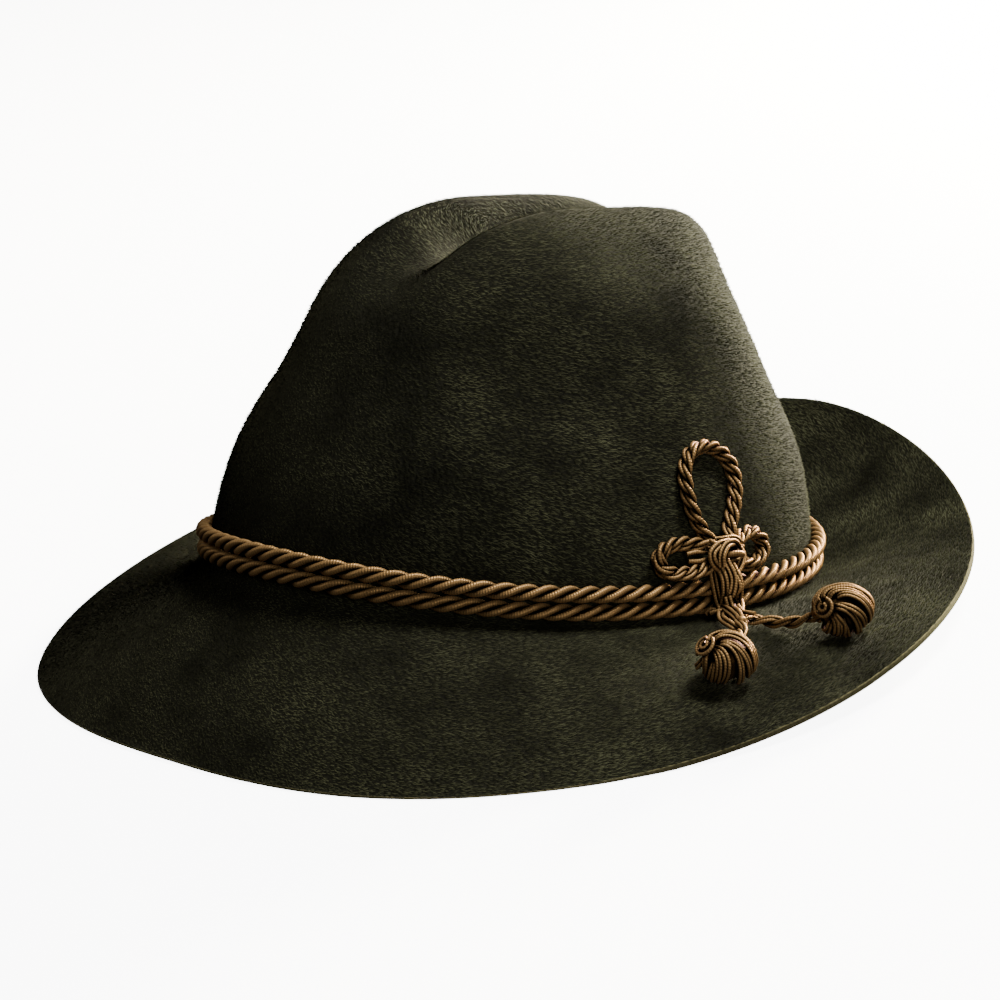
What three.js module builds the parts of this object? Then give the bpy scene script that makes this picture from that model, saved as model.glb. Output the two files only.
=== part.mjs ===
// Alpine hunting hat: one felt hood blocked into a creased crown and a snapped brim, two turns of
// twisted cord round the crown, and an ornamental cord knot with two knob-ended tails on the left side.
// Millimetres and degrees, +Z up. The wearer faces -Y and the wearer's left is +X.
// The hat stands on its brim on the plane Z = 0, as it rests on a table.
import * as THREE from "three";

// Felt hood. Head sizes are outside the felt at the break line, where crown and brim meet.
const HEAD_FRONT = 99.7;
const HEAD_BACK = 99.7;
const HEAD_SIDE = 82.7;
const CROWN_HEIGHT = 118.5;
const FELT = 2.2;
const BREAK_FILLET = 7;
const BREAK_SLOPE = 82;
const BREAK_SIDE = -0.1;
const BREAK_RISE = { front: 7.2, back: 4.0 };
const SADDLE_FADE = 60;

// The hat frame has its origin at the centre of the break line. On the floor the turned-down brim
// lifts the front, and the felt is pressed flat where it touches.
const REST_PITCH = 10.44;
const REST_HEIGHT = 18.8;
const EDGE_WEAR = 1;
const REST_FORWARD = -1.46;

// Grid of the felt surface, and the steps that sums and searches along it take.
const AROUND = 68;
const BRIM_SHARES = [1, 0.86, 0.7, 0.54, 0.39, 0.26, 0.17, 0.12, 0.085, 0.055, 0.028];
const CROWN_RINGS = 18;
const BRIM_SLICES = 48;
const HEIGHT_HALVINGS = 30;
const NORMAL_STEP = { angle: 0.01, along: 0.5 };

// Cords. The band's two turns lie one over the other, measured up the crown from the break line.
const GAP = 0.3;
const SIDES = 8;
const BAND_DIAMETER = 5.3;
const BAND_STEPS = 72;
const BAND_ROWS = [
  { name: "cord_band_lower", along: 0.5 },
  { name: "cord_band_upper", along: 6.1 },
];

// The knot's cords as places beside the middle of the left side: across towards the back, along up the
// crown from the break line or out over the brim where negative, and out from the felt.
const LOOP_DIAMETER = 5;
const LOOP_STEPS = 24;
const LOOP_TOP = [
  { across: -2.6, along: 21.6, out: 3.2 },
  { across: -5.0, along: 27.0, out: 2.8 },
  { across: -6.4, along: 33.9, out: 2.8 },
  { across: -5.5, along: 40.6, out: 2.8 },
  { across: -1.8, along: 44.8, out: 2.8 },
  { across: 4.6, along: 46.0, out: 2.8 },
  { across: 9.8, along: 43.7, out: 2.8 },
  { across: 12.7, along: 38.2, out: 2.8 },
  { across: 11.9, along: 31.9, out: 2.8 },
  { across: 9.3, along: 26.1, out: 2.8 },
  { across: 6.6, along: 21.6, out: 3.2 },
];
const LOOP_FRONT = [
  { across: -8.6, along: 19.2, out: 3.0 },
  { across: -12.9, along: 19.6, out: 2.8 },
  { across: -17.1, along: 18.0, out: 2.8 },
  { across: -18.6, along: 14.6, out: 2.9 },
  { across: -16.2, along: 11.4, out: 3.6 },
  { across: -11.8, along: 10.8, out: 4.2 },
  { across: -7.2, along: 11.0, out: 4.4 },
];
const LOOP_BACK = [
  { across: 12.6, along: 19.4, out: 3.0 },
  { across: 17.0, along: 19.2, out: 2.8 },
  { across: 19.6, along: 16.2, out: 2.9 },
  { across: 18.6, along: 12.8, out: 3.4 },
  { across: 14.4, along: 10.9, out: 4.1 },
  { across: 10.2, along: 11.2, out: 4.4 },
];
const HEART = { across: 2.0, along: 16.1, out: 4.2, half_width: 8.0, half_height: 4.9, half_depth: 3.8 };
const STEM_DIAMETER = 6.4;
const STEM_STEPS = 12;
const STEM = [
  { across: 0, along: 11.2, out: 7.4 },
  { across: -0.3, along: 6.0, out: 9.5 },
  { across: 0.2, along: 1.0, out: 9.5 },
  { across: -0.6, along: -14.0, out: 5.4 },
  { across: -4.0, along: -22.4, out: 3.8 },
];
const TAIL_DIAMETER = 4;
const TAIL_STEPS = 10;
const TAILS = [
  {
    name: "front",
    cord: [
      { across: -6.1, along: -25.8, out: 2.6 },
      { across: -9.6, along: -29.8, out: 2.6 },
      { across: -13.4, along: -34.4, out: 3.6 },
      { across: -17.3, along: -39.8, out: 5.8 },
    ],
    knob: { across: -21.3, along: -46.0, out: 8.2 },
  },
  {
    name: "back",
    cord: [
      { across: 0.8, along: -22.2, out: 2.5 },
      { across: 2.5, along: -27.4, out: 2.4 },
      { across: 3.6, along: -33.0, out: 3.0 },
      { across: 5.7, along: -39.5, out: 5.5 },
    ],
    knob: { across: 8.7, along: -47.0, out: 8.2 },
  },
];
const KNOB = { half_width: 9.0, half_height: 7.8, half_length: 8.6 };
const ROUND_STEPS = { around: 20, over: 12 };

// Crown sections from the break line to the centre of the tip. height is a share of CROWN_HEIGHT,
// the reaches are measured from the middle, and square is the exponent of each half's outline.
const CROWN_ROWS = [
  { height: 0, front: HEAD_FRONT, back: HEAD_BACK, side: HEAD_SIDE, square: 2.15 },
  { height: 0.1, front: 99.6, back: 99.4, side: 83.3, square: 2.15 },
  { height: 0.3, front: 91.2, back: 92.6, side: 77.4, square: 2.3 },
  { height: 0.52, front: 79.0, back: 79.4, side: 66.7, square: 2.4 },
  { height: 0.74, front: 64.0, back: 65.8, side: 54.6, square: 2.55 },
  { height: 0.9, front: 43.0, back: 62.0, side: 36.5, square: 2.7 },
  { height: 0.975, front: 18.0, back: 46.0, side: 19.0, square: 2.8 },
  { height: 1.0, front: 0, back: 0, side: 0, square: 2.8 },
];

// Brim, by turn from the front to the back. Slopes are degrees above the break plane.
const BRIM_ROWS = [
  { turn: 0, width: 66.2, root_slope: -43.4, edge_slope: -53.8 },
  { turn: 45, width: 72.1, root_slope: -26.6, edge_slope: -40.6 },
  { turn: 90, width: 70.4, root_slope: 2.3, edge_slope: -12 },
  { turn: 135, width: 56.8, root_slope: 20.9, edge_slope: 25 },
  { turn: 180, width: 62.0, root_slope: 30.5, edge_slope: 55.6 },
];

// Centre crease. angle is measured at the crease's pivot, from straight ahead over the top to the back.
const CREASE_PIVOT = { back: 5, height: 55 };
const CREASE_ROWS = [
  { angle: 0, depth: 0, half_width: 20 },
  { angle: 22.5, depth: 1, half_width: 20 },
  { angle: 45, depth: 12, half_width: 21 },
  { angle: 67.5, depth: 25, half_width: 23 },
  { angle: 90, depth: 29, half_width: 24 },
  { angle: 112.5, depth: 25, half_width: 24 },
  { angle: 135, depth: 12, half_width: 23 },
  { angle: 157.5, depth: 1, half_width: 22 },
  { angle: 180, depth: 0, half_width: 22 },
];

// Dents pressed towards the crown's axis, mirrored to both sides.
const DENTS = [{ side: 50, back: -52, height: 72, radius: 24, depth: 4 }];

const radians = THREE.MathUtils.degToRad;
const degrees = THREE.MathUtils.radToDeg;

// A smooth curve through a table's rows: place runs from 0 at the first row to length - 1 at the last.
// before and after stand for the rows past the table's two ends.
function between(rows, place, before, after) {
  const first = Math.min(Math.floor(place), rows.length - 2);
  const s = place - first;
  const at = (i) => (i < 0 ? before : i >= rows.length ? after : rows[i]);
  const [a, b, c, d] = [at(first - 1), at(first), at(first + 1), at(first + 2)];
  const mixed = {};
  for (const name of Object.keys(b)) {
    const [p, q, r, t] = [a[name], b[name], c[name], d[name]];
    mixed[name] =
      q + 0.5 * s * (r - p + s * (2 * p - 5 * q + 4 * r - t + s * (3 * (q - r) + t - p)));
  }
  return mixed;
}

// The row before the break line carries the crown wall on in a straight line, and the row after the
// tip is the one before it on the far side, so that the tip is smooth.
function crownRow(place) {
  const [first, second] = CROWN_ROWS;
  const below = Object.fromEntries(
    Object.keys(first).map((name) => [name, 2 * first[name] - second[name]]),
  );
  const last = CROWN_ROWS[CROWN_ROWS.length - 2];
  const beyond = { ...last, front: -last.front, back: -last.back, side: -last.side };
  return between(CROWN_ROWS, place, below, beyond);
}

// Rows by angle repeat mirrored past both ends, because the hat is the same on both sides.
function mirroredRow(rows, column, angle) {
  const step = rows[1][column] - rows[0][column];
  const place = Math.min(angle / step, rows.length - 1);
  return between(rows, place, rows[1], rows[rows.length - 2]);
}

// A point of an oval with half-length front or back, half-width side and exponent square.
function ovalPoint(row, angle) {
  const c = Math.cos(angle);
  const s = Math.sin(angle);
  const k = (Math.abs(c) ** row.square + Math.abs(s) ** row.square) ** (-1 / row.square);
  return new THREE.Vector2(row.side * c * k, (s > 0 ? row.back : row.front) * s * k);
}

function ovalNormal(row, angle) {
  const tangent = ovalPoint(row, angle + NORMAL_STEP.angle).sub(
    ovalPoint(row, angle - NORMAL_STEP.angle),
  );
  return new THREE.Vector2(tangent.y, -tangent.x).normalize();
}

// The crease sinks towards its pivot, most on the centre line and not at all past half_width.
function pressCrease(point) {
  const ahead = CREASE_PIVOT.back - point.y;
  const up = point.z - CREASE_PIVOT.height;
  const angle = degrees(Math.atan2(up, ahead));
  if (angle <= 0 || angle >= 180) return;
  const row = mirroredRow(CREASE_ROWS, "angle", angle);
  const share = Math.abs(point.x) / row.half_width;
  if (share >= 1) return;
  const sink = Math.max(0, row.depth) * Math.cos((share * Math.PI) / 2) ** 2;
  point.y += sink * Math.cos(radians(angle));
  point.z -= sink * Math.sin(radians(angle));
}

function pressDents(point) {
  for (const dent of DENTS) {
    const away = new THREE.Vector3(
      Math.abs(point.x) - dent.side,
      point.y - dent.back,
      point.z - dent.height,
    ).length();
    const sink = dent.depth * Math.exp(-((away / dent.radius) ** 2));
    const reach = Math.hypot(point.x, point.y);
    if (reach === 0) continue;
    point.x *= 1 - sink / reach;
    point.y *= 1 - sink / reach;
  }
}

// The break line is a saddle, low at the sides. Its rise fades out up the crown.
function breakRise(angle, height) {
  const s = Math.sin(angle);
  const fade = Math.max(0, 1 - height / SADDLE_FADE);
  return (BREAK_SIDE + (s > 0 ? BREAK_RISE.back : BREAK_RISE.front) * s * s) * fade;
}

// A point of the crown's outer face. place is a place in CROWN_ROWS.
function crownPoint(angle, place) {
  const row = crownRow(place);
  const flat = ovalPoint(row, angle);
  const point = new THREE.Vector3(flat.x, flat.y, row.height * CROWN_HEIGHT);
  pressCrease(point);
  pressDents(point);
  point.z += breakRise(angle, row.height * CROWN_HEIGHT);
  return point;
}

function brimRow(angle) {
  const turn = Math.abs(THREE.MathUtils.euclideanModulo(degrees(angle) - 90, 360) - 180);
  return mirroredRow(BRIM_ROWS, "turn", turn);
}

// A point of the brim's upper face, share of the brim's width away from the break line. The profile
// starts down the crown's wall and turns into the brim's own slope within BREAK_FILLET.
function brimPoint(angle, share) {
  const row = brimRow(angle);
  const base = ovalPoint(CROWN_ROWS[0], angle);
  const normal = ovalNormal(CROWN_ROWS[0], angle);
  let out = 0;
  let up = breakRise(angle, 0);
  const slices = Math.ceil(share * BRIM_SLICES);
  const slice = (share * row.width) / Math.max(1, slices);
  for (let i = 0; i < slices; i++) {
    const along = (i + 0.5) * slice;
    const own = row.root_slope + ((row.edge_slope - row.root_slope) * along) / row.width;
    const turned = THREE.MathUtils.smoothstep(along, 0, BREAK_FILLET);
    const slope = radians(THREE.MathUtils.lerp(-BREAK_SLOPE, own, turned));
    out += Math.cos(slope) * slice;
    up += Math.sin(slope) * slice;
  }
  return new THREE.Vector3(base.x + normal.x * out, base.y + normal.y * out, up);
}

// A place on the felt's outer face and its outward normal. angle runs round the head, and along is
// millimetres from the break line: up the crown where positive, out over the brim where negative.
function onFelt(angle, along) {
  if (along < 0) return brimPoint(angle, -along / brimRow(angle).width);
  let [low, high] = [0, CROWN_ROWS.length - 1];
  for (let i = 0; i < HEIGHT_HALVINGS; i++) {
    const middle = (low + high) / 2;
    if (crownRow(middle).height * CROWN_HEIGHT < along) low = middle;
    else high = middle;
  }
  return crownPoint(angle, low);
}

function offFelt(angle, along, out) {
  const round = onFelt(angle + NORMAL_STEP.angle, along).sub(
    onFelt(angle - NORMAL_STEP.angle, along),
  );
  const up = onFelt(angle, along + NORMAL_STEP.along).sub(
    onFelt(angle, along - NORMAL_STEP.along),
  );
  return onFelt(angle, along).addScaledVector(round.cross(up).normalize(), out);
}

// A place beside the knot, which sits on the middle of the left side. across is towards the back.
function byKnot({ across, along, out }) {
  return offFelt(across / HEAD_SIDE, along, out);
}

// The felt's outer face as rings from the brim's edge in to the break line and up to the tip.
function feltRings() {
  const angles = Array.from({ length: AROUND }, (_, i) => (i / AROUND) * 2 * Math.PI);
  const rings = BRIM_SHARES.map((share) => angles.map((angle) => brimPoint(angle, share)));
  for (let i = 0; i < CROWN_RINGS; i++) {
    const place = (i / CROWN_RINGS) * (CROWN_ROWS.length - 1);
    rings.push(angles.map((angle) => crownPoint(angle, place)));
  }
  return rings;
}

// Outward normals of the rings, from the neighbours of each point.
function ringNormals(rings, tip) {
  return rings.map((ring, i) =>
    ring.map((point, j) => {
      const around = ring[(j + 1) % AROUND].clone().sub(ring[(j + AROUND - 1) % AROUND]);
      const outer = i > 0 ? rings[i - 1][j] : point;
      const inner = i + 1 < rings.length ? rings[i + 1][j] : tip;
      return around.cross(inner.clone().sub(outer)).normalize();
    }),
  );
}

// How the hat frame stands on the floor. The felt lies flat where it would sink in, and where the
// brim's cut edge comes within wear of the floor.
const standing = new THREE.Matrix4()
  .makeTranslation(0, REST_FORWARD, REST_HEIGHT)
  .multiply(new THREE.Matrix4().makeRotationX(-radians(REST_PITCH)));
const lying = standing.clone().invert();
function keptAboveFloor(point, wear) {
  const stood = point.clone().applyMatrix4(standing);
  if (stood.z < wear) stood.z = 0;
  return stood.applyMatrix4(lying);
}

// The hood as one closed wall: the outer face, the inner face one felt thickness under it, and the
// raw edge between them.
function feltGeometry() {
  const rings = feltRings();
  const tip = crownPoint(0, CROWN_ROWS.length - 1);
  const normals = ringNormals(rings, tip);
  const inside = rings.map((ring, i) =>
    ring.map((point, j) => keptAboveFloor(point.clone().addScaledVector(normals[i][j], -FELT), 0)),
  );
  const outside = rings.map((ring, i) =>
    ring.map((point) => keptAboveFloor(point, i === 0 ? EDGE_WEAR : 0)),
  );
  const underTip = tip.clone().add(new THREE.Vector3(0, 0, -FELT));
  const points = [...outside.flat(), ...inside.flat(), tip, underTip];
  const faces = [];
  const quad = (a, b, c, d) => faces.push(a, b, c, a, c, d);
  const last = rings.length - 1;
  const half = rings.length * AROUND;
  for (let j = 0; j < AROUND; j++) {
    const next = (j + 1) % AROUND;
    for (let i = 0; i < last; i++) {
      const [low, high] = [i * AROUND, (i + 1) * AROUND];
      quad(low + j, low + next, high + next, high + j);
      quad(half + low + j, half + high + j, half + high + next, half + low + next);
    }
    quad(half + j, half + next, next, j);
    faces.push(last * AROUND + j, last * AROUND + next, 2 * half);
    faces.push(half + last * AROUND + next, half + last * AROUND + j, 2 * half + 1);
  }
  const geometry = new THREE.BufferGeometry().setFromPoints(points);
  geometry.setIndex(faces);
  geometry.computeVertexNormals();
  return geometry;
}

const MATERIALS = {
  felt: new THREE.MeshStandardMaterial({ color: 0x2c2e22, roughness: 0.95, metalness: 0 }),
  cord: new THREE.MeshStandardMaterial({ color: 0x8a6a48, roughness: 0.5, metalness: 0 }),
};

// One closed turn of the band, held off the crown's wall by its own radius and the gap.
function bandGeometry({ along }) {
  const out = BAND_DIAMETER / 2 + GAP;
  const points = Array.from({ length: BAND_STEPS }, (_, i) => {
    const angle = (i / BAND_STEPS) * 2 * Math.PI;
    const normal = ovalNormal(CROWN_ROWS[0], angle);
    const wall = onFelt(angle, along);
    return new THREE.Vector3(wall.x + normal.x * out, wall.y + normal.y * out, breakRise(angle, 0) + along);
  });
  const path = new THREE.CatmullRomCurve3(points, true);
  return new THREE.TubeGeometry(path, BAND_STEPS, BAND_DIAMETER / 2, SIDES, true);
}

// A length of cord along places beside the knot.
function cordGeometry(places, diameter, steps) {
  const path = new THREE.CatmullRomCurve3(places.map(byKnot));
  const section = Array.from({ length: SIDES }, (_, i) => {
    const turn = (i / SIDES) * 2 * Math.PI;
    return new THREE.Vector2(Math.cos(turn), Math.sin(turn)).multiplyScalar(diameter / 2);
  });
  const options = { steps, extrudePath: path, bevelEnabled: false };
  return new THREE.ExtrudeGeometry(new THREE.Shape(section), options);
}

// A rounded body with its width along one direction on the felt and its depth along the felt's normal.
function roundGeometry(place, towards, size) {
  const centre = byKnot(place);
  const length = byKnot(towards).sub(centre).normalize();
  const foot = byKnot({ ...place, out: 0 });
  const depth = centre.clone().sub(foot).normalize();
  const width = depth.clone().cross(length).normalize();
  length.crossVectors(width, depth);
  const geometry = new THREE.SphereGeometry(1, ROUND_STEPS.around, ROUND_STEPS.over);
  geometry.scale(size.length, size.width, size.depth);
  geometry.applyMatrix4(new THREE.Matrix4().makeBasis(length, width, depth).setPosition(centre));
  return geometry;
}

const hat = new THREE.Group();
hat.applyMatrix4(standing);
function add(name, geometry, material) {
  const mesh = new THREE.Mesh(geometry, material);
  mesh.name = name;
  hat.add(mesh);
}
add("felt_body", feltGeometry(), MATERIALS.felt);
for (const row of BAND_ROWS) add(row.name, bandGeometry(row), MATERIALS.cord);
add("knot_loop_top", cordGeometry(LOOP_TOP, LOOP_DIAMETER, LOOP_STEPS), MATERIALS.cord);
add("knot_loop_front", cordGeometry(LOOP_FRONT, LOOP_DIAMETER, LOOP_STEPS), MATERIALS.cord);
add("knot_loop_back", cordGeometry(LOOP_BACK, LOOP_DIAMETER, LOOP_STEPS), MATERIALS.cord);
add(
  "knot_heart",
  roundGeometry(
    HEART,
    { ...HEART, across: HEART.across + 1 },
    { length: HEART.half_width, width: HEART.half_height, depth: HEART.half_depth },
  ),
  MATERIALS.cord,
);
add("knot_stem", cordGeometry(STEM, STEM_DIAMETER, STEM_STEPS), MATERIALS.cord);
for (const { name, cord, knob } of TAILS) {
  add(`tail_cord_${name}`, cordGeometry(cord, TAIL_DIAMETER, TAIL_STEPS), MATERIALS.cord);
  const size = { length: KNOB.half_length, width: KNOB.half_width, depth: KNOB.half_height };
  add(`tail_knob_${name}`, roundGeometry(knob, cord.at(-1), size), MATERIALS.cord);
}

const part = new THREE.Group();
part.add(hat);
export default part;
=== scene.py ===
# %% [markdown]
# # Alpine hunting hat
# One hood of fur felt is steamed over a block, creased down the middle and brushed to a velour nap.
# Its brim is snapped down in front and turned up at the back. Two turns of twisted cord go round the
# crown, and more of the cord is tied into an ornament on the left side that ends in two knobs.
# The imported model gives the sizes. This lesson gives each piece the surface that the eye expects.

import math

import bpy
import numpy as np
from mathutils import Matrix, Vector


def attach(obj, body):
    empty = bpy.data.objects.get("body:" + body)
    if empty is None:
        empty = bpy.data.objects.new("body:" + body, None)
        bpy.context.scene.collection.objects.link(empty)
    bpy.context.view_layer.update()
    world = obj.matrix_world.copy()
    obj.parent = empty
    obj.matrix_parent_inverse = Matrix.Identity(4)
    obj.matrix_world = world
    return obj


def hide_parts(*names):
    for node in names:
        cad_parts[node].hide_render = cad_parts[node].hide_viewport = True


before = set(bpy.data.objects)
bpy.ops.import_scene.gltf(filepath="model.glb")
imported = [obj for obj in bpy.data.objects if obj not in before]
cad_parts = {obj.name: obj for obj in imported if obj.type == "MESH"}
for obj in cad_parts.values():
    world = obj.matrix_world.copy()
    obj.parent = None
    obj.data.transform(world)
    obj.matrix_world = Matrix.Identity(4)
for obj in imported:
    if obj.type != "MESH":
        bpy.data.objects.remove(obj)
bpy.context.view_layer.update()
MM = 0.001

# %% [markdown]
# ## The form of the hat
# A blocked hat is a stack of ovals: short tables hold the oval at each height, the brim's slope at each
# turn, and the crease's depth. Smooth curves through the rows give any point of the felt, so the cords
# and the nap can find the surface they lie on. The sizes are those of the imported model.

# %% Tables of the form, in millimetres and degrees
CROWN_HEIGHT = 118.5
FELT = 2.2
BREAK_FILLET = 7.0
BREAK_SLOPE = 82.0
BREAK_SIDE = -0.1
BREAK_RISE = {"front": 7.2, "back": 4.0}
SADDLE_FADE = 60.0


def table(columns, rows):
    """The named columns of a short table."""
    return dict(zip(columns.split(), np.array(rows, float).T))


CROWN = table(
    "height front back side square",
    [
        (0.0, 99.7, 99.7, 82.7, 2.15),
        (0.1, 99.6, 99.4, 83.3, 2.15),
        (0.3, 91.2, 92.6, 77.4, 2.3),
        (0.52, 79.0, 79.4, 66.7, 2.4),
        (0.74, 64.0, 65.8, 54.6, 2.55),
        (0.9, 43.0, 62.0, 36.5, 2.7),
        (0.975, 18.0, 46.0, 19.0, 2.8),
        (1.0, 0.0, 0.0, 0.0, 2.8),
    ],
)
BRIM = table(
    "turn width root_slope edge_slope",
    [
        (0, 66.2, -43.4, -53.8),
        (45, 72.1, -26.6, -40.6),
        (90, 70.4, 2.3, -12),
        (135, 56.8, 20.9, 25),
        (180, 62.0, 30.5, 55.6),
    ],
)
CREASE_PIVOT = {"back": 5.0, "height": 55.0}
CREASE = table(
    "angle depth half_width",
    [
        (0, 0, 20),
        (22.5, 1, 20),
        (45, 12, 21),
        (67.5, 25, 23),
        (90, 29, 24),
        (112.5, 25, 24),
        (135, 12, 23),
        (157.5, 1, 22),
        (180, 0, 22),
    ],
)
DENT = {"side": 50.0, "back": -52.0, "height": 72.0, "radius": 24.0, "depth": 4.0}
print("crown sections:", len(CROWN["height"]), "brim sections:", len(BRIM["turn"]))

# %% Smooth curves through the tables
REACHES = ("front", "back", "side")


def between(values, place, before, after):
    """A smooth curve through evenly spaced values. place 0 is the first of them."""
    padded = np.concatenate([[before], values, [after]])
    first = np.clip(np.floor(place).astype(int), 0, len(values) - 2)
    s = place - first
    p, q, r, t = (padded[first + i] for i in range(4))
    return q + 0.5 * s * (r - p + s * (2 * p - 5 * q + 4 * r - t + s * (3 * (q - r) + t - p)))


def crown_row(place):
    """The crown's oval at a place in its table. Past the tip the ovals repeat on the far side."""
    row = {}
    for name, values in CROWN.items():
        beyond = -values[-2] if name in REACHES else values[-2]
        row[name] = between(values, place, 2 * values[0] - values[1], beyond)
    return row


def mirrored_row(rows, column, angle):
    """A row by angle. The hat is the same on both sides, so the rows repeat past both ends."""
    step = rows[column][1] - rows[column][0]
    place = np.minimum(angle / step, len(rows[column]) - 1)
    return {name: between(v, place, v[1], v[-2]) for name, v in rows.items()}


def brim_row(angle):
    turn = np.abs(np.mod(np.degrees(angle) - 90, 360) - 180)
    return mirrored_row(BRIM, "turn", turn)


# %% Points of the felt
NORMAL_STEP = 0.01
BRIM_SLICES = 64
BREAK_OVAL = {name: values[0] for name, values in CROWN.items()}


def unit(vectors):
    """The same directions, 1 long."""
    return vectors / np.linalg.norm(vectors, axis=-1, keepdims=True)


def oval_point(row, angle):
    c, s = np.cos(angle), np.sin(angle)
    square = row["square"]
    k = (np.abs(c) ** square + np.abs(s) ** square) ** (-1 / square)
    reach = np.where(s > 0, row["back"], row["front"])
    return np.stack([row["side"] * c * k, reach * s * k], axis=-1)


def oval_normal(row, angle):
    tangent = oval_point(row, angle + NORMAL_STEP) - oval_point(row, angle - NORMAL_STEP)
    return unit(np.stack([tangent[..., 1], -tangent[..., 0]], axis=-1))


def break_rise(angle, height):
    """The break line is a saddle, low at the sides. Its rise fades out up the crown."""
    s = np.sin(angle)
    rise = np.where(s > 0, BREAK_RISE["back"], BREAK_RISE["front"])
    fade = np.maximum(0, 1 - height / SADDLE_FADE)
    return (BREAK_SIDE + rise * s * s) * fade


def press_crease(x, y, z):
    """The crease sinks towards its pivot, most on the centre line."""
    ahead = CREASE_PIVOT["back"] - y
    up = z - CREASE_PIVOT["height"]
    turn = np.degrees(np.arctan2(up, ahead))
    row = mirrored_row(CREASE, "angle", np.clip(turn, 0, 180))
    share = np.minimum(np.abs(x) / row["half_width"], 1)
    sink = np.maximum(row["depth"], 0) * np.cos(share * math.pi / 2) ** 2
    sink = np.where((turn > 0) & (turn < 180), sink, 0)
    return y + sink * np.cos(np.radians(turn)), z - sink * np.sin(np.radians(turn))


def press_dents(x, y, z):
    """A soft dent each side of the crown's front, pressed towards its axis."""
    away = np.sqrt(
        (np.abs(x) - DENT["side"]) ** 2 + (y - DENT["back"]) ** 2 + (z - DENT["height"]) ** 2
    )
    sink = DENT["depth"] * np.exp(-((away / DENT["radius"]) ** 2))
    keep = 1 - sink / np.maximum(np.hypot(x, y), 1)
    return x * keep, y * keep


def crown_point(angle, place):
    row = crown_row(place)
    x, y = np.moveaxis(oval_point(row, angle), -1, 0)
    height = row["height"] * CROWN_HEIGHT
    y, z = press_crease(x, y, height)
    x, y = press_dents(x, y, z)
    return np.stack([x, y, z + break_rise(angle, height)], axis=-1)


def brim_point(angle, share):
    """A point of the brim's upper face, a share of its width out from the break line."""
    angle, share = np.broadcast_arrays(angle, share)
    row = brim_row(angle)
    run = share * row["width"]
    along = run[..., None] * (np.arange(BRIM_SLICES) + 0.5) / BRIM_SLICES
    spread = (row["edge_slope"] - row["root_slope"]) / row["width"]
    own = row["root_slope"][..., None] + spread[..., None] * along
    s = np.clip(along / BREAK_FILLET, 0, 1)
    turned = s * s * (3 - 2 * s)
    slope = np.radians(own * turned - BREAK_SLOPE * (1 - turned))
    out = np.cos(slope).mean(axis=-1) * run
    up = np.sin(slope).mean(axis=-1) * run + break_rise(angle, 0)
    flat = oval_point(BREAK_OVAL, angle) + oval_normal(BREAK_OVAL, angle) * out[..., None]
    return np.concatenate([flat, up[..., None]], axis=-1)


# %% Places on the felt, and how the hat stands
CROWN_SAMPLES = 1400
PLACES = np.linspace(0, len(CROWN["height"]) - 1, CROWN_SAMPLES)
HEIGHTS = crown_row(PLACES)["height"] * CROWN_HEIGHT
ALONG_STEP = 0.5
REST_PITCH = math.radians(10.44)
REST_SHIFT = np.array([0, -1.46, 18.8])
LYING = np.array(Matrix.Rotation(-REST_PITCH, 3, "X"))


def on_felt(angle, along):
    """A place round the head, along millimetres up the crown, or out over the brim if negative."""
    angle, along = np.broadcast_arrays(angle, along)
    up = crown_point(angle, np.interp(along, HEIGHTS, PLACES))
    out = brim_point(angle, np.maximum(-along, 0) / brim_row(angle)["width"])
    return np.where(along[..., None] < 0, out, up)


def felt_normal(angle, along):
    """The outward normal at a place on the felt."""
    across = on_felt(angle + NORMAL_STEP, along) - on_felt(angle - NORMAL_STEP, along)
    upward = on_felt(angle, along + ALONG_STEP) - on_felt(angle, along - ALONG_STEP)
    return unit(np.cross(across, upward))


def by_knot(places):
    """Points beside the middle of the left side: across to the back, along, and out from the felt."""
    across, along, out = np.array(places, float).T
    angle = across / BREAK_OVAL["side"]
    return on_felt(angle, along) + felt_normal(angle, along) * out[:, None]


def stood(points):
    """Hat-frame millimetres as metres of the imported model, standing on the floor."""
    return (points @ LYING.T + REST_SHIFT) * MM


print("crown's front at half height, mm:", np.round(stood(on_felt(-math.pi / 2, 60)) / MM, 1))

# %% [markdown]
# ## The camera
# The photograph looks down a little on the hat from its front left, with a long lens. Matching the
# hat's outline gave the place, the turn and the lens, so the camera is set from those numbers.

# %% Set the camera
EYE = np.array([839.9, -826.7, 226.1])
CAMERA_RIGHT = np.array([0.6965, 0.7168, 0.0340])
CAMERA_UP = np.array([-0.1585, 0.1075, 0.9815])
LENS = 135.65
SENSOR = 36.0
FRAMING = (-0.01468, 0.06042)

camera_data = bpy.data.cameras.new("camera")
camera_data.sensor_width = SENSOR
camera_data.lens = LENS
camera_data.shift_x, camera_data.shift_y = FRAMING
camera = bpy.data.objects.new("camera", camera_data)
bpy.context.scene.collection.objects.link(camera)
bpy.context.scene.camera = camera
right = LYING @ unit(CAMERA_RIGHT)
back = unit(np.cross(right, LYING @ CAMERA_UP))
up = np.cross(back, right)
facing = Matrix(np.stack([right, up, back], axis=1).tolist()).to_4x4()
facing.translation = stood(EYE)
camera.matrix_world = facing
print("camera above the floor, m:", round(float(stood(EYE)[2]), 3))

# %% [markdown]
# ## Helpers for nodes
# Node trees are easier to read when each node is one line, so one small function adds a node with its
# settings and links. Colours are written as sRGB hex values, and one function makes them linear.
# Another one starts a material with the values that are the same all over it.


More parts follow.
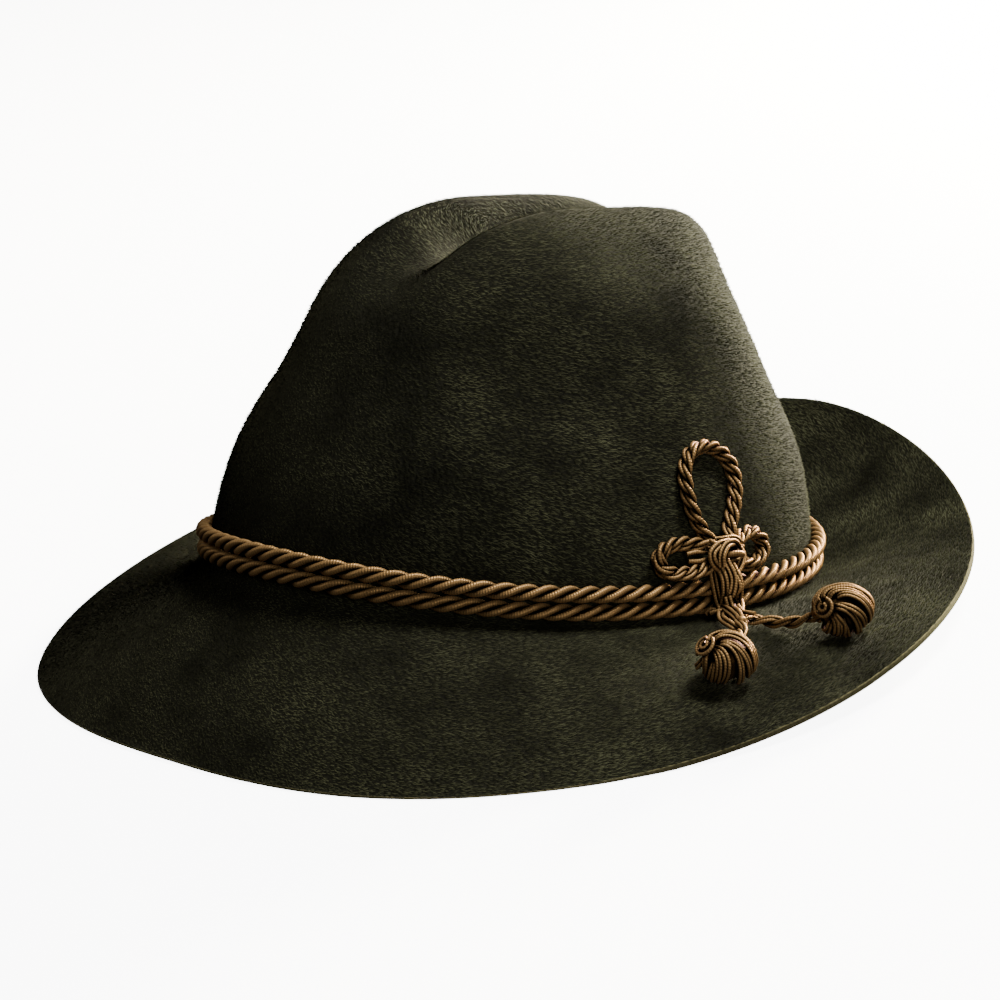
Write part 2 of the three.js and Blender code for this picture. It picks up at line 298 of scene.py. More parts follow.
# %% Add nodes and colours
def node(tree, kind, inputs=None, captures=None, **settings):
    """Adds a node. inputs are numbers or the outputs of other nodes; captures name what it keeps."""
    made = tree.nodes.new(kind)
    for name, value in settings.items():
        setattr(made, name, value)
    for name, value_kind in (captures or {}).items():
        made.capture_items.new(value_kind, name)
    for key, value in (inputs or {}).items():
        if isinstance(value, bpy.types.NodeSocket):
            tree.links.new(value, made.inputs[key])
        else:
            made.inputs[key].default_value = value
    return made


def linear(hex_colour):
    """A linear colour from an sRGB hex value."""
    parts = [int(hex_colour[i : i + 2], 16) / 255 for i in (1, 3, 5)]
    return [*(c / 12.92 if c <= 0.04045 else ((c + 0.055) / 1.055) ** 2.4 for c in parts), 1]


def new_material(name, values):
    """A material with these values on its shader. Returns it, its tree and its shader's inputs."""
    material = bpy.data.materials.new(name)
    material.use_nodes = True
    inputs = material.node_tree.nodes["Principled BSDF"].inputs
    for key, value in values.items():
        inputs[key].default_value = value
    return material, material.node_tree, inputs


def geometry_tree(name, sockets):
    """A Geometry Nodes tree with named inputs. Returns the tree, its inputs and its output node."""
    tree = bpy.data.node_groups.new(name, "GeometryNodeTree")
    sides = [("Geometry", "NodeSocketGeometry"), *sockets.items()]
    for label, kind in sides:
        tree.interface.new_socket(label, in_out="INPUT", socket_type=kind)
    tree.interface.new_socket("Geometry", in_out="OUTPUT", socket_type="NodeSocketGeometry")
    start = tree.nodes.new("NodeGroupInput")
    return tree, start.outputs, tree.nodes.new("NodeGroupOutput")


def finish_tree(tree, geometry, material, end):
    """Makes the geometry real, gives it its material and links it to the output node."""
    real = node(tree, "GeometryNodeRealizeInstances", {"Geometry": geometry}).outputs[0]
    values = {"Geometry": real, "Material": material}
    coloured = node(tree, "GeometryNodeSetMaterial", values).outputs[0]
    tree.links.new(coloured, end.inputs["Geometry"])
    print("tree:", tree.name, "with", len(tree.nodes), "nodes")


print("felt olive as linear:", np.round(linear("#2b2c20"), 3))

# %% [markdown]
# ## Satin cord
# Trimming cord of this kind is rayon: each strand is a soft core wrapped in fine, glossy thread. The
# wrapping runs nearly straight round the strand, so it shows as close ribs across it, and the gloss
# breaks up along them. The ribs are drawn 0.8 mm apart, a little coarser than the real thread, so that
# they show. The grooves carry painted shade: the colour darkens to nearly black where a strand's
# neighbours shut out the light.

# %% Make the satin cord material
RIB_SPACING = 0.8 * MM
RIB_SLANT = 1.0
RIB_RELIEF = 0.1 * MM
BLOTCH_SCALE = 420
BLOTCH_WEIGHT = 3.0
# Painted shade in the grooves: how far the occlusion looks, and the openness below which it is full.
PAINTED_SHADE_REACH = 3.0 * MM
PAINTED_SHADE_FULL_BELOW = 0.68
SPECKLE = (0.7, 1.15)
YARN_ATTRIBUTE = "yarn"


def satin_cord(name, lit, shaded, spacing, slant):
    """Rayon-wrapped cord, with painted shade from lit to shaded in its grooves.
    spacing is the distance between ribs, and slant their turns round a strand.
    """
    satin = {
        "Metallic": 0.45,
        "Roughness": 0.42,
        "Specular IOR Level": 0.12,
        "Specular Tint": linear("#f0b060"),
    }
    material, tree, inputs = new_material(name, satin)
    yarn = node(tree, "ShaderNodeAttribute", attribute_name=YARN_ATTRIBUTE).outputs["Vector"]
    parts = node(tree, "ShaderNodeSeparateXYZ", {0: yarn}).outputs
    turn = node(tree, "ShaderNodeMath", {0: parts[1], 1: parts[0]}, operation="ARCTAN2").outputs[0]
    round_it = node(tree, "ShaderNodeMath", {0: turn, 1: slant}, operation="MULTIPLY").outputs[0]
    pace = 2 * math.pi / spacing
    along = node(tree, "ShaderNodeMath", {0: parts[2], 1: pace}, operation="MULTIPLY").outputs[0]
    phase = node(tree, "ShaderNodeMath", {0: along, 1: round_it}, operation="ADD").outputs[0]
    rib = node(tree, "ShaderNodeMath", {0: phase}, operation="SINE").outputs[0]
    place = node(tree, "ShaderNodeTexCoord").outputs["Object"]
    blotch = node(tree, "ShaderNodeTexNoise", {"Vector": place, "Scale": BLOTCH_SCALE, "Detail": 3})
    height = node(
        tree,
        "ShaderNodeMath",
        {0: blotch.outputs["Fac"], 1: BLOTCH_WEIGHT, 2: rib},
        operation="MULTIPLY_ADD",
    ).outputs[0]
    bump = node(tree, "ShaderNodeBump", {"Height": height, "Strength": 0.4, "Distance": RIB_RELIEF})
    # Painted shade: the occlusion turns the colour from lit to shaded, nearly black, in the grooves.
    open_sky_for_painted_shade = node(tree, "ShaderNodeAmbientOcclusion", {"Distance": PAINTED_SHADE_REACH}, only_local=True, samples=8)
    depth = node(
        tree,
        "ShaderNodeMapRange",
        {"Value": open_sky_for_painted_shade.outputs["AO"], "From Min": PAINTED_SHADE_FULL_BELOW, "From Max": 1.0},
    ).outputs[0]
    tone = node(
        tree,
        "ShaderNodeMix",
        {"Factor": depth, "A": linear(shaded), "B": linear(lit)},
        data_type="RGBA",
    )
    speckle = node(
        tree,
        "ShaderNodeMapRange",
        {"Value": height, "From Max": BLOTCH_WEIGHT, "To Min": SPECKLE[0], "To Max": SPECKLE[1]},
    ).outputs[0]
    colour = node(
        tree, "ShaderNodeVectorMath", {0: tone.outputs["Result"], "Scale": speckle}, operation="SCALE"
    )
    tree.links.new(colour.outputs[0], inputs["Base Color"])
    tree.links.new(bump.outputs["Normal"], inputs["Normal"])
    return material


# The second colour is the painted shade of the grooves.
CORD = satin_cord("rayon cord, bronze brown", "#896b44", "#020100", RIB_SPACING, RIB_SLANT)
print("material:", CORD.name)

# %% [markdown]
# ## Laying a cord
# A cord is made by a rule: strands circle a centre line, and finer yarns may circle each strand. So one
# Geometry Nodes tree lays strands round a line, and a second tree uses it twice, puts a section along
# each yarn and closes its ends. The strands have a left-hand lay here, so their turns are negative,
# and the yarns in a strand turn the other way.

# %% Lay strands round a line
LAY, start, end = geometry_tree(
    "lay strands",
    {"Strands": "NodeSocketInt", "Turns": "NodeSocketFloat", "Radius": "NodeSocketFloat"},
)
copies = node(
    LAY,
    "GeometryNodeDuplicateElements",
    {"Geometry": start["Geometry"], "Amount": start["Strands"]},
    domain="SPLINE",
)
normal = node(LAY, "GeometryNodeInputNormal").outputs["Normal"]
tangent = node(LAY, "GeometryNodeInputTangent").outputs["Tangent"]
side = node(LAY, "ShaderNodeVectorMath", {0: tangent, 1: normal}, operation="CROSS_PRODUCT").outputs[0]
factor = node(LAY, "GeometryNodeSplineParameter").outputs["Factor"]
number = copies.outputs["Duplicate Index"]
share = node(LAY, "ShaderNodeMath", {0: number, 1: start["Strands"]}, operation="DIVIDE").outputs[0]
turned = node(
    LAY, "ShaderNodeMath", {0: factor, 1: start["Turns"], 2: share}, operation="MULTIPLY_ADD"
).outputs[0]
angle = node(LAY, "ShaderNodeMath", {0: turned, 1: 2 * math.pi}, operation="MULTIPLY").outputs[0]
cosine = node(LAY, "ShaderNodeMath", {0: angle}, operation="COSINE").outputs[0]
sine = node(LAY, "ShaderNodeMath", {0: angle}, operation="SINE").outputs[0]
ahead = node(LAY, "ShaderNodeVectorMath", {0: normal, "Scale": cosine}, operation="SCALE").outputs[0]
aside = node(LAY, "ShaderNodeVectorMath", {0: side, "Scale": sine}, operation="SCALE").outputs[0]
outward = node(LAY, "ShaderNodeVectorMath", {0: ahead, 1: aside}, operation="ADD").outputs[0]
kept = node(
    LAY,
    "GeometryNodeCaptureAttribute",
    {"Geometry": copies.outputs["Geometry"], "Outward": outward},
    captures={"Outward": "VECTOR"},
)
offset = node(
    LAY,
    "ShaderNodeVectorMath",
    {0: kept.outputs["Outward"], "Scale": start["Radius"]},
    operation="SCALE",
).outputs[0]
moved = node(
    LAY, "GeometryNodeSetPosition", {"Geometry": kept.outputs["Geometry"], "Offset": offset}
).outputs[0]
faced = node(
    LAY,
    "GeometryNodeSetCurveNormal",
    {"Curve": moved, "Normal": kept.outputs["Outward"]},
    mode="FREE",
).outputs[0]
LAY.links.new(faced, end.inputs["Geometry"])
print("tree:", LAY.name, "with", len(LAY.nodes), "nodes")

# %% Twist a cord along a line
TWIST, start, end = geometry_tree(
    "twist a cord",
    {
        "Steps": "NodeSocketInt",
        "Strands": "NodeSocketInt",
        "Strand turns": "NodeSocketFloat",
        "Strand reach": "NodeSocketFloat",
        "Yarns": "NodeSocketInt",
        "Yarn turns": "NodeSocketFloat",
        "Yarn reach": "NodeSocketFloat",
        "Half depth": "NodeSocketFloat",
        "Half width": "NodeSocketFloat",
        "Sides": "NodeSocketInt",
        "Material": "NodeSocketMaterial",
    },
)
line = node(
    TWIST,
    "GeometryNodeResampleCurve",
    {"Curve": start["Geometry"], "Count": start["Steps"]},
    mode="COUNT",
).outputs[0]
for count, turns, reach in (
    ("Strands", "Strand turns", "Strand reach"),
    ("Yarns", "Yarn turns", "Yarn reach"),
):
    laid = {"Geometry": line, "Strands": start[count], "Turns": start[turns], "Radius": start[reach]}
    line = node(TWIST, "GeometryNodeGroup", laid, node_tree=LAY).outputs[0]
length = node(TWIST, "GeometryNodeSplineParameter").outputs["Length"]
line = node(
    TWIST,
    "GeometryNodeCaptureAttribute",
    {"Geometry": line, "Length": length},
    captures={"Length": "FLOAT"},
)
circle = node(TWIST, "GeometryNodeCurvePrimitiveCircle", {"Resolution": start["Sides"], "Radius": 1.0})
place = node(TWIST, "GeometryNodeInputPosition").outputs[0]
section = node(
    TWIST,
    "GeometryNodeCaptureAttribute",
    {"Geometry": circle.outputs["Curve"], "Round": place},
    captures={"Round": "VECTOR"},
)
size = node(
    TWIST, "ShaderNodeCombineXYZ", {"X": start["Half depth"], "Y": start["Half width"], "Z": 1.0}
).outputs[0]
shaped = node(
    TWIST, "GeometryNodeTransform", {"Geometry": section.outputs["Geometry"], "Scale": size}
).outputs[0]
tube = node(
    TWIST,
    "GeometryNodeCurveToMesh",
    {"Curve": line.outputs["Geometry"], "Profile Curve": shaped, "Fill Caps": True},
).outputs[0]
parts = node(TWIST, "ShaderNodeSeparateXYZ", {0: section.outputs["Round"]}).outputs
yarn = node(
    TWIST, "ShaderNodeCombineXYZ", {"X": parts[0], "Y": parts[1], "Z": line.outputs["Length"]}
).outputs[0]
marked = node(
    TWIST,
    "GeometryNodeStoreNamedAttribute",
    {"Geometry": tube, "Name": YARN_ATTRIBUTE, "Value": yarn},
    data_type="FLOAT_VECTOR",
    domain="POINT",
).outputs[0]
smooth = node(TWIST, "GeometryNodeSetShadeSmooth", {"Geometry": marked, "Shade Smooth": True}).outputs[0]
finish_tree(TWIST, smooth, start["Material"], end)


# %% Run a tree on an object and keep the mesh
def line_object(name, points, closed=False):
    """A curve object of straight pieces through many close points, in metres."""
    curve = bpy.data.curves.new(name, "CURVE")
    curve.dimensions = "3D"
    spline = curve.splines.new("POLY")
    spline.points.add(len(points) - 1)
    spline.points.foreach_set("co", np.c_[points, np.ones(len(points))].ravel())
    spline.use_cyclic_u = closed
    made = bpy.data.objects.new(name, curve)
    bpy.context.scene.collection.objects.link(made)
    return made


def mesh_from(source, tree, values, name):
    """Runs a tree on an object and returns its result as a plain mesh object."""
    modifier = source.modifiers.new(tree.name, "NODES")
    modifier.node_group = tree
    for item in tree.interface.items_tree:
        if item.in_out == "INPUT" and item.name in values:
            modifier[item.identifier] = values[item.name]
    graph = bpy.context.evaluated_depsgraph_get()
    mesh = bpy.data.meshes.new_from_object(source.evaluated_get(graph))
    source.modifiers.remove(modifier)
    bpy.data.objects.remove(source)
    mesh.name = name
    made = bpy.data.objects.new(name, mesh)
    bpy.context.scene.collection.objects.link(made)
    return made


def joined(name, pieces):
    """One object of several meshes that share a material."""
    with bpy.context.temp_override(
        active_object=pieces[0], object=pieces[0], selected_editable_objects=pieces
    ):
        bpy.ops.object.join()
    pieces[0].name = pieces[0].data.name = name
    return pieces[0]


def smooth_line(points, per_span=12):
    """A smooth line through points, with spans that keep to the spacing of the points."""
    before = 2 * points[:1] - points[1:2]
    after = 2 * points[-1:] - points[-2:-1]
    whole = np.concatenate([before, points, after])
    p0, p1, p2, p3 = whole[:-3], whole[1:-2], whole[2:-1], whole[3:]
    gaps = np.sqrt(np.linalg.norm(np.diff(whole, axis=0), axis=1))[:, None]
    d0, d1, d2 = gaps[:-2], gaps[1:-1], gaps[2:]
    leave = ((p1 - p0) / d0 - (p2 - p0) / (d0 + d1) + (p2 - p1) / d1) * d1
    arrive = ((p2 - p1) / d1 - (p3 - p1) / (d1 + d2) + (p3 - p2) / d2) * d1
    u = (np.arange(per_span) / per_span)[None, :, None]
    p1, p2, leave, arrive = (a[:, None, :] for a in (p1, p2, leave, arrive))
    h = 2 * u**3 - 3 * u**2
    line = p1 * (1 + h) - p2 * h + leave * (u**3 - 2 * u**2 + u) + arrive * (u**3 - u**2)
    return np.concatenate([line.reshape(-1, 3), points[-1:]])


def length_of(points):
    return float(np.linalg.norm(np.diff(points, axis=0), axis=1).sum())


SIDES = 10
STEP = 0.9
SINGLE_YARN = {"strands": 1, "pitch": 0, "reach": 0, "yarns": 1, "yarn_pitch": 0, "yarn_reach": 0}


def twisted(name, points, make_up, section, closed=False):
    """A twisted cord along points, in hat-frame millimetres. Pitches are the lengths of one turn."""
    run = length_of(points) + (np.linalg.norm(points[0] - points[-1]) if closed else 0)
    pitch, yarn_pitch = make_up["pitch"], make_up["yarn_pitch"]
    turns = -run / pitch if pitch else 0
    values = {
        "Steps": int(run / STEP),
        "Strands": make_up["strands"],
        "Strand turns": float(round(turns) if closed else turns),
        "Strand reach": make_up["reach"] * MM,
        "Yarns": make_up["yarns"],
        "Yarn turns": float(run / yarn_pitch if yarn_pitch else 0),
        "Yarn reach": make_up["yarn_reach"] * MM,
        "Half depth": section[0] * MM,
        "Half width": section[1] * MM,
        "Sides": SIDES,
        "Material": CORD,
    }
    return mesh_from(line_object(name, stood(points), closed), TWIST, values, name)


print("helpers ready")

# %% [markdown]
# ## The band
# The band is one twisted cord laid twice round the crown, one turn on the other. Each turn has three
# fat strands, and a strand comes round again every 20 mm. The strands are pressed side against side,
# so the section of each is deeper than it is wide.

# %% Lay the two turns of the band
BAND_DIAMETER = 5.3
BAND_GAP = 0.3
BAND_TURNS = {"cord_band_lower": 0.5, "cord_band_upper": 6.1}
BAND_CORD = {**SINGLE_YARN, "strands": 3, "pitch": 19.8, "reach": 1.42}
BAND_STRAND = (1.24, 1.06)
BAND_POINTS = 480
ANGLES = np.linspace(0, 2 * math.pi, BAND_POINTS, endpoint=False)
for name, along in BAND_TURNS.items():
    wall = on_felt(ANGLES, along)[:, :2]
    out = oval_normal(BREAK_OVAL, ANGLES) * (BAND_DIAMETER / 2 + BAND_GAP)
    level = break_rise(ANGLES, 0) + along
    points = np.c_[wall + out, level]
    band = twisted(f"twisted_{name}", points, BAND_CORD, BAND_STRAND, closed=True)
    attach(band, "root")
    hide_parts(name)
    print(name, "faces:", len(band.data.polygons))

# %% [markdown]
# ## The ornament's loops
# The knot is tied from a softer cord of three strands, each of two yarns side by side. Its loops are
# lines of places beside the knot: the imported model's own, and one more at each end under the heart.

# %% Lay the three loops
LOOP_TOP = [
    (-1.0, 17.6, 4.6),
    (-2.6, 21.6, 3.2),
    (-5.0, 27.0, 2.8),
    (-6.4, 33.9, 2.8),
    (-5.5, 40.6, 2.8),
    (-1.8, 44.8, 2.8),
    (4.6, 46.0, 2.8),
    (9.8, 43.7, 2.8),
    (12.7, 38.2, 2.8),
    (11.9, 31.9, 2.8),
    (9.3, 26.1, 2.8),
    (6.6, 21.6, 3.2),
    (4.6, 17.4, 4.4),
]
LOOP_FRONT = [
    (-4.0, 18.0, 4.4),
    (-8.6, 19.2, 3.0),
    (-12.9, 19.6, 2.8),
    (-17.1, 18.0, 2.8),
    (-18.6, 14.6, 2.9),
    (-16.2, 11.4, 3.6),
    (-11.8, 10.8, 4.2),
    (-7.2, 11.0, 4.4),
    (-2.0, 12.6, 4.4),
]
LOOP_BACK = [
    (7.6, 17.8, 4.2),
    (12.6, 19.4, 3.0),
    (17.0, 19.2, 2.8),
    (19.6, 16.2, 2.9),
    (18.6, 12.8, 3.4),
    (14.4, 10.9, 4.1),
    (10.2, 11.2, 4.4),
    (5.0, 13.0, 4.6),
]
LOOPS = {"knot_loop_top": LOOP_TOP, "knot_loop_front": LOOP_FRONT, "knot_loop_back": LOOP_BACK}
LOOP_CORD = {"strands": 3, "pitch": 13.5, "reach": 1.3, "yarns": 2, "yarn_pitch": 9.0, "yarn_reach": 0.6}
LOOP_YARN = (0.66, 0.66)
for name, places in LOOPS.items():
    points = smooth_line(by_knot(places))
    loop = twisted(f"twisted_{name}", points, LOOP_CORD, LOOP_YARN)
    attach(loop, "root")
    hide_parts(name)
    print(name, "length, mm:", round(length_of(points), 1), "faces:", len(loop.data.polygons))

# %% [markdown]
# ## The heart and the stem
# Pairs of yarns wrap the loops together at the heart, and more pairs cross each other down the stem,
# which hangs over the band to the foot where the two tails leave it. The strokes of the heart are
# places beside the knot. Those of the stem are a share of its length, how far they lie to its side and
# how far out from its middle line.

# %% Helpers for pairs of yarns
YARN_HALF = 0.68
PAIR_CLOSENESS = 0.95
PAIR_SPAN = 6
BALL_SEGMENTS = 32
BALL_RINGS = 20
KNOT_FACES = np.array([0.70, -0.69, 0.19])


def yarn(name, points, half=YARN_HALF):
    return twisted(name, points, SINGLE_YARN, (half, half))


def pair(name, points, outward, half=YARN_HALF):
    """Two yarns side by side along points. outward is away from what they lie on."""
    along = np.gradient(points, axis=0)
    aside = unit(np.cross(along, outward)) * half * PAIR_CLOSENESS
    return [yarn(f"{name}_{k}", points + aside * k, half) for k in (-1, 1)]


def ball(name, centre, half):
    """A closed round body in hat-frame millimetres. half is its axes as rows."""
    bpy.ops.mesh.primitive_uv_sphere_add(segments=BALL_SEGMENTS, ring_count=BALL_RINGS, radius=1)
    made = bpy.context.object
    made.name = made.data.name = name
    points = np.array([v.co for v in made.data.vertices])
    made.data.vertices.foreach_set("co", stood(points @ half + centre).ravel())
    made.data.materials.append(CORD)
    made.data.shade_smooth()
    return made


# %% Wrap the heart
HEART_STROKES = {
    "under": [(-1.0, 19.0, 4.2), (2.0, 18.9, 5.6), (5.5, 18.8, 5.8), (8.6, 17.2, 4.6)],
    "middle": [(-3.4, 16.6, 4.6), (1.0, 16.4, 6.4), (5.2, 16.2, 6.4), (9.4, 15.6, 4.6)],
    "low": [(-4.4, 13.6, 4.6), (0.6, 13.6, 6.2), (5.0, 13.4, 6.2), (9.0, 12.6, 4.6)],
    "left_wrap": [
        (2.6, 18.2, 6.8),
        (-1.6, 17.8, 7.4),
        (-4.2, 15.6, 7.2),
        (-3.6, 12.9, 7.2),
        (-1.0, 10.9, 7.2),
    ],
    "arch": [(-1.9, 11.8, 8.2), (-2.1, 14.8, 8.6), (0.3, 17.6, 8.4), (3.5, 17.9, 7.8), (6.0, 16.4, 6.4)],
    "right_wrap": [(6.4, 16.6, 5.6), (7.2, 14.0, 6.4), (5.4, 11.6, 7.2), (3.0, 9.8, 7.8)],
}
HEART_NUB = [(0.4, 14.9, 7.8), (2.4, 15.0, 8.9), (4.6, 14.7, 8.9), (5.7, 14.4, 8.3)]
NUB_HALF = 0.95
TICKS = {
    "tick_upper": [(-9.9, 16.3, 3.6), (-7.4, 16.6, 4.6), (-4.0, 15.9, 4.8)],
    "tick_lower": [(-9.4, 14.2, 3.6), (-6.8, 14.0, 4.8), (-4.2, 14.4, 5.0)],
}
heart_yarns = []
for name, places in HEART_STROKES.items():
    points = smooth_line(by_knot(places), PAIR_SPAN)
    heart_yarns += pair(f"heart_{name}", points, KNOT_FACES)
heart_yarns.append(yarn("heart_nub", smooth_line(by_knot(HEART_NUB), PAIR_SPAN), NUB_HALF))
for name, places in TICKS.items():
    heart_yarns.append(yarn(name, smooth_line(by_knot(places), PAIR_SPAN)))
heart = joined("wrapped_knot_heart", heart_yarns)
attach(heart, "root")
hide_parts("knot_heart")
print("heart faces:", len(heart.data.polygons))

# %% Plait the stem
STEM_LINE = [
    (-0.8, 12.2, 7.0),
    (-0.2, 6.0, 8.6),
    (0.2, 1.0, 8.8),
    (-0.6, -14.0, 5.0),
    (-4.0, -22.4, 3.8),
]
STEM_STROKES = {
    "back_left": [(-0.08, -1.6, -0.6), (0.2, -1.9, -0.4), (0.5, -1.8, -0.6), (0.85, -1.2, -0.6)],
    "back_right": [(-0.08, 1.4, -0.8), (0.2, 1.8, -0.6), (0.5, 1.7, -0.6), (0.85, 1.0, -0.6)],
    "inner_left": [(-0.05, -1.2, 0.8), (0.16, -0.3, 1.4), (0.39, -0.7, 1.5), (0.56, -2.3, 0.8)],
    "inner_right": [(-0.04, 1.5, 0.6), (0.18, 2.5, 1.0), (0.35, 1.2, 1.8), (0.49, -1.3, 1.6)],
    "outer_left": [(-0.04, -2.9, -0.2), (0.18, -3.3, 0.2), (0.4, -2.5, 0.9), (0.62, -2.6, 0.4)],
    "lower_middle": [(0.36, -0.1, 2.3), (0.58, 0.4, 2.2), (0.8, 0.4, 1.4), (0.98, 0.1, 0.8)],
    "lower_left": [(0.44, -2.4, 1.2), (0.62, -1.6, 1.3), (0.82, -1.1, 0.9), (1.0, -0.7, 0.4)],
    "foot": [(0.6, -2.6, 0.6), (0.82, -4.6, 0.4), (1.0, -3.6, 0.6), (1.16, -1.4, 0.4)],
}
STEM_SINGLES = {
    "right_edge": [
        (0.02, 3.3, -0.4),
        (0.22, 4.5, 0.2),
        (0.46, 4.6, 0.4),
        (0.66, 3.4, 0.6),
        (0.84, 1.6, 0.8),
    ],
    "right_wave": [
        (0.16, 3.4, 0.8),
        (0.3, 4.0, 1.2),
        (0.42, 2.6, 1.4),
        (0.54, 3.4, 1.2),
        (0.66, 2.0, 1.4),
        (0.8, 1.9, 1.0),
    ],
    "bump_upper": [(0.5, -6.4, 1.0), (0.47, -4.5, 1.8), (0.54, -2.6, 1.6)],
    "bump_lower": [(0.6, -6.0, 0.8), (0.62, -4.4, 1.4), (0.66, -3.0, 1.0)],
    "stub": [(0.8, 1.2, 0.6), (0.88, 3.1, 0.8), (0.96, 4.8, 0.4)],
}
STEM_SPAN = 20
KNUCKLE_PLACE = (1.0, 0.2, 1.4)
KNUCKLE_HALF = 1.3
spine = smooth_line(by_knot(STEM_LINE), STEM_SPAN)
travelled = np.concatenate([[0], np.cumsum(np.linalg.norm(np.diff(spine, axis=0), axis=1))])
spine_share = travelled / travelled[-1]
spine_way = spine[-1] - spine[0]
stem_right = unit(np.cross(spine_way, KNOT_FACES))
if stem_right @ CAMERA_RIGHT < 0:
    stem_right = -stem_right


def by_stem(rows):
    """Points beside the stem's middle line: share of its length, to the side, and out."""
    share, side, out = np.array(rows, float).T
    inside = np.clip(share, 0, 1)
    middle = np.stack([np.interp(inside, spine_share, spine[:, k]) for k in range(3)], axis=1)
    middle += (share - inside)[:, None] * spine_way
    return middle + side[:, None] * stem_right + out[:, None] * KNOT_FACES


stem_yarns = []
for name, rows in STEM_STROKES.items():
    stem_yarns += pair(f"stem_{name}", smooth_line(by_stem(rows), PAIR_SPAN), KNOT_FACES)
for name, rows in STEM_SINGLES.items():
    stem_yarns.append(yarn(f"stem_{name}", smooth_line(by_stem(rows), PAIR_SPAN)))
stem_yarns.append(ball("stem_knuckle", by_stem([KNUCKLE_PLACE])[0], np.eye(3) * KNUCKLE_HALF))
stem = joined("plaited_knot_stem", stem_yarns)
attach(stem, "root")
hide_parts("knot_stem")
print("stem faces:", len(stem.data.polygons))

# %% [markdown]
# ## The tails and their knobs
# Each tail is a thinner cord of two strands. It ends in a knob: pairs of yarns wound over a ball from an
# eye on its side, where the last yarns curl round, to the far side of the ball.

# %% Lay the tails
TAILS = {
    "front": [
        (-4.2, -22.6, 3.8),
        (-6.1, -25.8, 2.6),
        (-9.6, -29.8, 2.6),
        (-13.4, -34.4, 3.6),
        (-17.3, -39.8, 5.8),
        (-20.2, -44.2, 7.6),
    ],
    "back": [
        (-2.6, -20.6, 3.6),
        (0.8, -22.2, 2.5),
        (2.5, -27.4, 2.4),
        (3.6, -33.0, 3.0),
        (5.7, -39.5, 5.5),
        (7.8, -44.6, 7.4),
    ],
}
TAIL_CORD = {"strands": 2, "pitch": 13.8, "reach": 0.95, "yarns": 2, "yarn_pitch": 11.0, "yarn_reach": 0.5}
TAIL_YARN = (0.6, 0.6)
for name, places in TAILS.items():
    points = smooth_line(by_knot(places))
    tail = twisted(f"twisted_tail_{name}", points, TAIL_CORD, TAIL_YARN)
    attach(tail, "root")
    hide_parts(f"tail_cord_{name}")
    print("tail", name, "length, mm:", round(length_of(points), 1))

# %% Wind the knobs
KNOBS = {"front": (-21.3, -46.0, 8.2), "back": (8.7, -47.0, 8.2)}
KNOB_SIZE = {"wide": 9.6, "high": 8.3, "deep": 7.9}
KNOB_EYES = {"front": (-0.70, 0.42, 0.57), "back": (-0.66, 0.06, 0.75)}
KNOB_PAIRS = 14
KNOB_YARN = 0.55
KNOB_STRAY = 0.22
KNOB_CORE = 0.74
KNOB_TWIST = 1.1
KNOB_STARTS = (0.30, 0.62, 0.46)
KNOB_END = 2.85
KNOB_POINTS = 40
KNOB_LEVEL = 0.97
KNOB_WAVE = {"height": 0.34, "count": 4}
KNOB_DIP_START = {"depth": 0.16, "length": 0.07}
KNOB_DIP_END = {"depth": 0.12, "length": 0.08}
KNOB_CURLS = (0.33, 0.14)
CURL_TURN = (0.6, 2 * math.pi - 0.2)
CURL_POINTS = 24
CURL_LEVEL = 1.04
KNOB_SEED = 7
KNOB_SIDE = unit(np.cross([0, 0, 1], KNOT_FACES))
KNOB_UP = np.cross(KNOT_FACES, KNOB_SIDE)


def wound(eye, tilt, turn, lift):
    """Points near a ball of radius 1: lift from its middle, tilt from the eye and turn round it."""
    tilt, turn, lift = (a[:, None] for a in (tilt, turn, lift))
    eye = unit(np.array(eye))
    first = unit(np.cross(eye, [0, 0, 1]))
    second = np.cross(eye, first)
    round_it = np.cos(turn) * first + np.sin(turn) * second
    return (np.cos(tilt) * eye + np.sin(tilt) * round_it) * lift


rng = np.random.default_rng(KNOB_SEED)
for name, place in KNOBS.items():
    centre = by_knot([place])[0]
    wide, high, deep = KNOB_SIZE["wide"], KNOB_SIZE["high"], KNOB_SIZE["deep"]
    axes = np.stack([KNOB_SIDE * wide, KNOB_UP * high, KNOT_FACES * deep])
    shrink = 1 - KNOB_YARN / high
    pieces = [ball(f"knob_core_{name}", centre, axes * KNOB_CORE)]
    for i in range(KNOB_PAIRS):
        t = np.linspace(0, 1, KNOB_POINTS)
        stray = rng.uniform(-1, 1, 4) * KNOB_STRAY
        start_tilt = KNOB_STARTS[i % len(KNOB_STARTS)] + stray[0]
        tilt = start_tilt + (KNOB_END - start_tilt) * t
        turn = 2 * math.pi * i / KNOB_PAIRS + stray[1] + (KNOB_TWIST + 2 * stray[2]) * np.cos(tilt)
        wave = KNOB_WAVE["height"] * stray[3] * np.sin(KNOB_WAVE["count"] * tilt)
        first_dip = KNOB_DIP_START["depth"] * np.exp(-t / KNOB_DIP_START["length"])
        last_dip = KNOB_DIP_END["depth"] * np.exp((t - 1) / KNOB_DIP_END["length"])
        lift = shrink * (KNOB_LEVEL + wave) * (1 - first_dip - last_dip)
        points = wound(KNOB_EYES[name], tilt, turn, lift) @ axes + centre
        pieces += pair(f"knob_pair_{i}", points, points - centre, KNOB_YARN)
    for i, radius in enumerate(KNOB_CURLS):
        turn = np.linspace(*CURL_TURN, CURL_POINTS)
        tilt = np.full(CURL_POINTS, radius)
        lift = np.full(CURL_POINTS, CURL_LEVEL)
        points = wound(KNOB_EYES[name], tilt, turn, lift) @ axes + centre
        pieces.append(yarn(f"knob_curl_{i}", points, KNOB_YARN))
    knob = joined(f"wound_knob_{name}", pieces)
    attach(knob, "root")
    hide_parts(f"tail_knob_{name}")
    print("knob", name, "faces:", len(knob.data.polygons))

